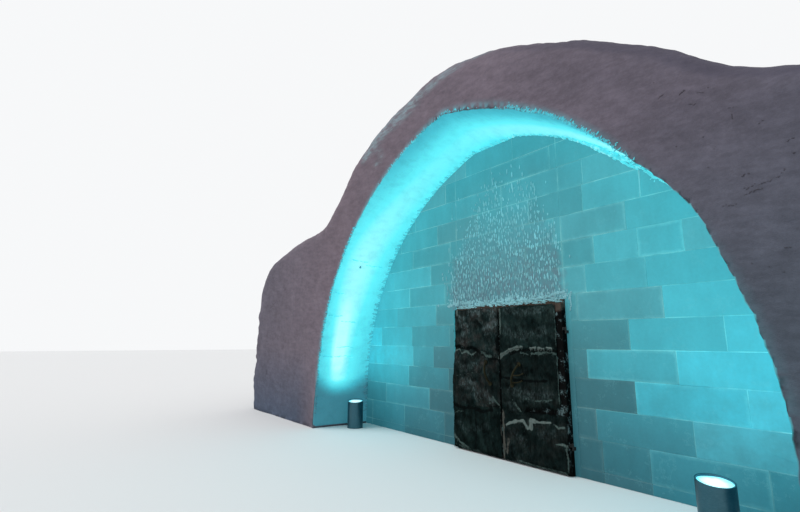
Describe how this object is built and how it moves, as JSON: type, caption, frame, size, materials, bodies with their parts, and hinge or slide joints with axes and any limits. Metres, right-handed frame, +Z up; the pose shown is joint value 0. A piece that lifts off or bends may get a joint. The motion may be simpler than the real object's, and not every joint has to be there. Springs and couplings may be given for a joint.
{
  "type": "snow and ice building",
  "caption": "Igloo-like hall of packed snow with a pointed arch portal, a set-back wall of ice blocks and a pair of hide-covered doors.",
  "frame": {"origin": "middle of the building's bounding box, at ground level", "axes": "+Z up; +X to the right when facing the doors; -Y is the front with the arch, +Y the closed back"},
  "size_m": [13.9, 8, 5.84],
  "materials": {
    "snow": "packed, grainy snow",
    "ice": "sawn, cloudy ice",
    "timber": "rough sawn",
    "boards": "dark boards",
    "hide": "short dark fur",
    "antler": "worn horn",
    "iron": "blackened",
    "steel": "brushed",
    "lens": "frosted, lit"
  },
  "bodies": {
    "building": {"portal_pier_left": "snow", "portal_shoulder_left": "snow", "portal_haunch_left": "snow", "portal_crown_left": "snow", "portal_crown_right": "snow", "portal_haunch_right": "snow", "portal_shoulder_right": "snow", "portal_pier_right": "snow", "vault_pier_left": "snow", "vault_shoulder_left": "snow", "vault_haunch_left": "snow", "vault_crown_left": "snow", "vault_crown_right": "snow", "vault_haunch_right": "snow", "vault_shoulder_right": "snow", "vault_pier_right": "snow", "end_wall": "snow", "ice_wall_left": "ice", "ice_wall_right": "ice", "ice_wall_over_door": "ice", "door_post_left": "timber", "door_post_right": "timber", "door_lintel": "timber", "left_hinge_pins": "iron", "right_hinge_pins": "iron", "left_lamp_housing": "steel", "left_lamp_lens": "lens", "right_lamp_housing": "steel", "right_lamp_lens": "lens"},
    "left_leaf": {"left_leaf_boards": "boards", "left_upper_hide": "hide", "left_middle_hide": "hide", "left_lower_hide": "hide", "left_antler_handle": "antler", "left_hinge_eyes": "iron"},
    "right_leaf": {"right_leaf_boards": "boards", "right_upper_hide": "hide", "right_middle_hide": "hide", "right_lower_hide": "hide", "right_antler_handle": "antler", "right_hinge_eyes": "iron"}
  },
  "joints": [
    {"name": "left_leaf_hinge", "type": "hinge", "parent": "building", "child": "left_leaf", "pos_m": [-0.8234, -2.894, 0], "axis": [0, 0, -1], "range_deg": [0, 100]},
    {"name": "right_leaf_hinge", "type": "hinge", "parent": "building", "child": "right_leaf", "pos_m": [1.2234, -2.894, 0], "axis": [0, 0, 1], "range_deg": [0, 100]}
  ]
}
